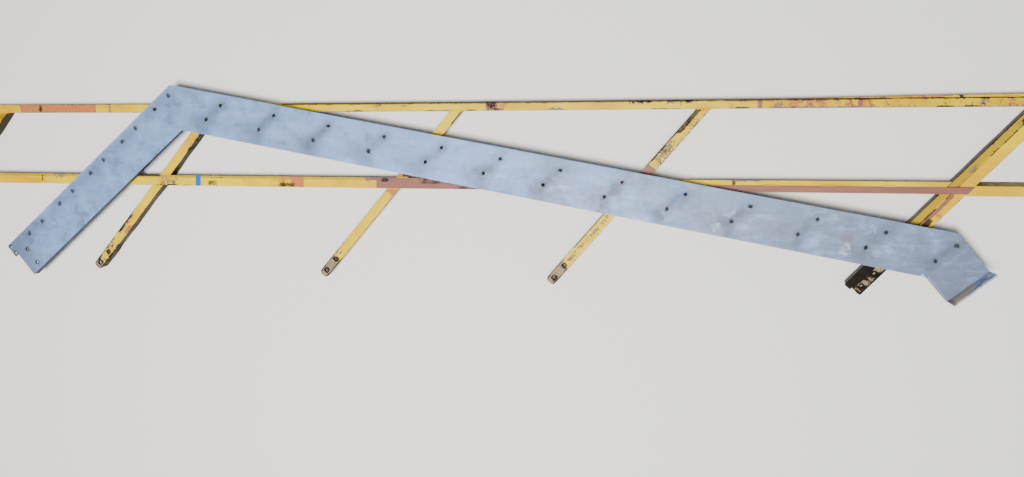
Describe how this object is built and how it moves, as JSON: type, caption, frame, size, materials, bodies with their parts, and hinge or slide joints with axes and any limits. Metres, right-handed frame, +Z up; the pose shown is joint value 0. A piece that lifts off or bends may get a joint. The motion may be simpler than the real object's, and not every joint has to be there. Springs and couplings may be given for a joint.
{
  "type": "stair guard rail frame with cranked stringer",
  "caption": "Welded angle-iron stair guard rail with slanted bolt-down posts, lying flat, and a cranked galvanised stair stringer resting across it.",
  "frame": {"origin": "middle of the whole outline, on the ground", "axes": "+X along the rails, +Y across them towards the top rail, +Z up from the ground"},
  "size_m": [6.368, 1.076, 0.1983],
  "materials": {
    "yellow_paint": "worn gloss paint, chipped",
    "primer_paint": "flat red-oxide primer",
    "painted_weld": "painted weld bead",
    "galvanised_steel": "matt hot-dip zinc",
    "zinc_weld": "zinc-coated weld bead"
  },
  "bodies": {
    "frame": {"top_rail": "yellow_paint", "next_top_rail": "yellow_paint", "middle_rail": "yellow_paint", "next_middle_rail": "yellow_paint", "lap_bar": "primer_paint", "post_1": "yellow_paint", "post_2": "yellow_paint", "post_3": "yellow_paint", "post_4": "yellow_paint", "end_post": "yellow_paint", "next_post": "yellow_paint", "top_rail_welds": "painted_weld", "middle_rail_welds": "painted_weld", "lap_bar_welds": "painted_weld", "splice_welds": "painted_weld", "twin_post_welds": "painted_weld"},
    "stringer": {"stringer_flight": "galvanised_steel", "stringer_leg": "galvanised_steel", "stringer_head": "galvanised_steel", "stringer_end_plate": "galvanised_steel", "corner_weld": "zinc_weld", "head_weld": "zinc_weld", "end_plate_welds": "zinc_weld"}
  },
  "joints": [
    {"name": "stringer_lift", "type": "slide", "parent": "frame", "child": "stringer", "axis": [0, 0, 1], "range_m": [0, 0.4]}
  ]
}
